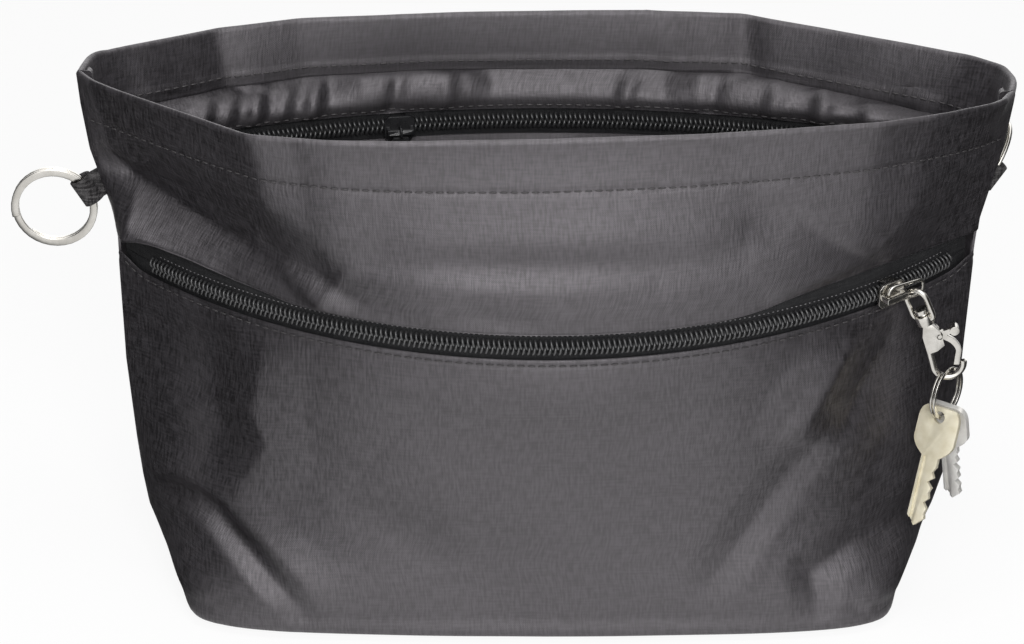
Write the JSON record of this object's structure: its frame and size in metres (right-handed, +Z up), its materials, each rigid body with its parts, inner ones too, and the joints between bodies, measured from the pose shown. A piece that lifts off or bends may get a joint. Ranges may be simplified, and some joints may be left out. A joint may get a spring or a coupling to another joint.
{
  "type": "travel organizer pouch",
  "caption": "Open-topped fabric organizer pouch with a zipped front pocket, a zipped inner pocket, side split rings and a swivel clip with keys on the zip pull.",
  "frame": {"origin": "middle of the flat base, on the surface that the pouch stands on", "axes": "+X from the left side seam to the right side seam, +Y from the front to the back, +Z up"},
  "size_m": [0.2918, 0.1011, 0.168],
  "materials": {
    "ripstop": "satin woven nylon",
    "zip_tape": "woven tape",
    "zip_coil": "satin",
    "webbing": "ribbed webbing",
    "nickel": "polished",
    "spring_steel": "plain",
    "black_enamel": "gloss",
    "pale_brass": "brushed",
    "key_nickel": "satin"
  },
  "bodies": {
    "pouch": {"front_wall": "ripstop", "back_wall": "ripstop", "base_panel": "ripstop", "front_pocket_panel": "ripstop", "front_zip_tape_upper": "zip_tape", "front_zip_tape_lower": "zip_tape", "front_zip_coil_upper": "zip_coil", "front_zip_coil_lower": "zip_coil", "inner_facing": "ripstop", "inner_pocket_panel": "ripstop", "inner_zip_tape_upper": "zip_tape", "inner_zip_tape_lower": "zip_tape", "inner_zip_coil_upper": "zip_coil", "inner_zip_coil_lower": "zip_coil"},
    "front_slider": {"front_slider": "nickel"},
    "front_pull": {"front_pull_ring": "nickel"},
    "clip_eye": {"clip_eye": "nickel"},
    "clip_hook": {"clip_hook": "nickel", "clip_gate_pin": "nickel", "clip_gate_spring": "spring_steel"},
    "clip_gate": {"clip_gate": "nickel"},
    "key_ring": {"key_ring": "nickel"},
    "front_key": {"front_key": "pale_brass"},
    "rear_key": {"rear_key": "key_nickel"},
    "left_tab": {"left_tab": "webbing"},
    "left_ring": {"left_split_ring": "nickel"},
    "right_tab": {"right_tab": "webbing"},
    "right_ring": {"right_split_ring": "nickel"},
    "inner_slider": {"inner_slider": "black_enamel"},
    "inner_pull": {"inner_pull": "black_enamel"}
  },
  "joints": [
    {"name": "front_zip_travel", "type": "hinge", "parent": "pouch", "child": "front_slider", "pos_m": [0, 0.11814, 0.12336], "axis": [0, -0.0957, 0.9954], "range_deg": [-77, 8]},
    {"name": "front_pull_swing", "type": "hinge", "parent": "front_slider", "child": "front_pull", "pos_m": [0.09772, -0.02779, 0.10933], "axis": [0, 0.0957, -0.9954], "range_deg": [-4, 90]},
    {"name": "clip_swing", "type": "hinge", "parent": "front_pull", "child": "clip_eye", "pos_m": [0.105, -0.02388, 0.108], "axis": [0.8878, 0.4581, 0.044], "range_deg": [-60, 4]},
    {"name": "clip_swivel", "type": "hinge", "parent": "clip_eye", "child": "clip_hook", "pos_m": [0.10949, -0.02406, 0.09935], "axis": [0.3907, 0, -0.9205], "range_deg": [-180, 35]},
    {"name": "clip_gate_swing", "type": "hinge", "parent": "clip_hook", "child": "clip_gate", "pos_m": [0.11347, -0.02406, 0.09561], "axis": [0, 1, 0], "range_deg": [0, 24], "stiffness_Nm_per_rad": 0.01, "springref_deg": -28.65},
    {"name": "key_ring_swing", "type": "hinge", "parent": "clip_hook", "child": "key_ring", "pos_m": [0.11664, -0.02406, 0.08609], "axis": [0, 1, 0], "range_deg": [-60, 16]},
    {"name": "front_key_swing", "type": "hinge", "parent": "key_ring", "child": "front_key", "pos_m": [0.11508, -0.02621, 0.06928], "axis": [0.5487, 0.7553, -0.3584], "range_deg": [-30, 25]},
    {"name": "rear_key_swing", "type": "hinge", "parent": "key_ring", "child": "rear_key", "pos_m": [0.11762, -0.02271, 0.06898], "axis": [0.5727, 0.7883, 0.225], "range_deg": [-30, 15]},
    {"name": "left_tab_swing", "type": "hinge", "parent": "pouch", "child": "left_tab", "pos_m": [-0.12708, 0, 0.13391], "axis": [-0.5037, 0, 0.8639], "range_deg": [-75, 75]},
    {"name": "left_ring_swing", "type": "hinge", "parent": "left_tab", "child": "left_ring", "pos_m": [-0.13287, 0, 0.13053], "axis": [-0.5037, 0, 0.8639], "range_deg": [-45, 45]},
    {"name": "right_tab_swing", "type": "hinge", "parent": "pouch", "child": "right_tab", "pos_m": [0.12737, 0, 0.13386], "axis": [0.5267, 0, 0.85], "range_deg": [-140, 10]},
    {"name": "right_ring_swing", "type": "hinge", "parent": "right_tab", "child": "right_ring", "pos_m": [0.12931, 0.0063, 0.13265], "axis": [0.5267, 0, 0.85], "range_deg": [-65, 10]},
    {"name": "inner_zip_travel", "type": "hinge", "parent": "pouch", "child": "inner_slider", "pos_m": [0, -0.24547, 0.134], "axis": [0, 0, -1], "range_deg": [-9.8, 26]},
    {"name": "inner_pull_swing", "type": "hinge", "parent": "inner_slider", "child": "inner_pull", "pos_m": [-0.04285, 0.03136, 0.134], "axis": [0.9882, 0.153, 0], "range_deg": [-150, 6]}
  ]
}
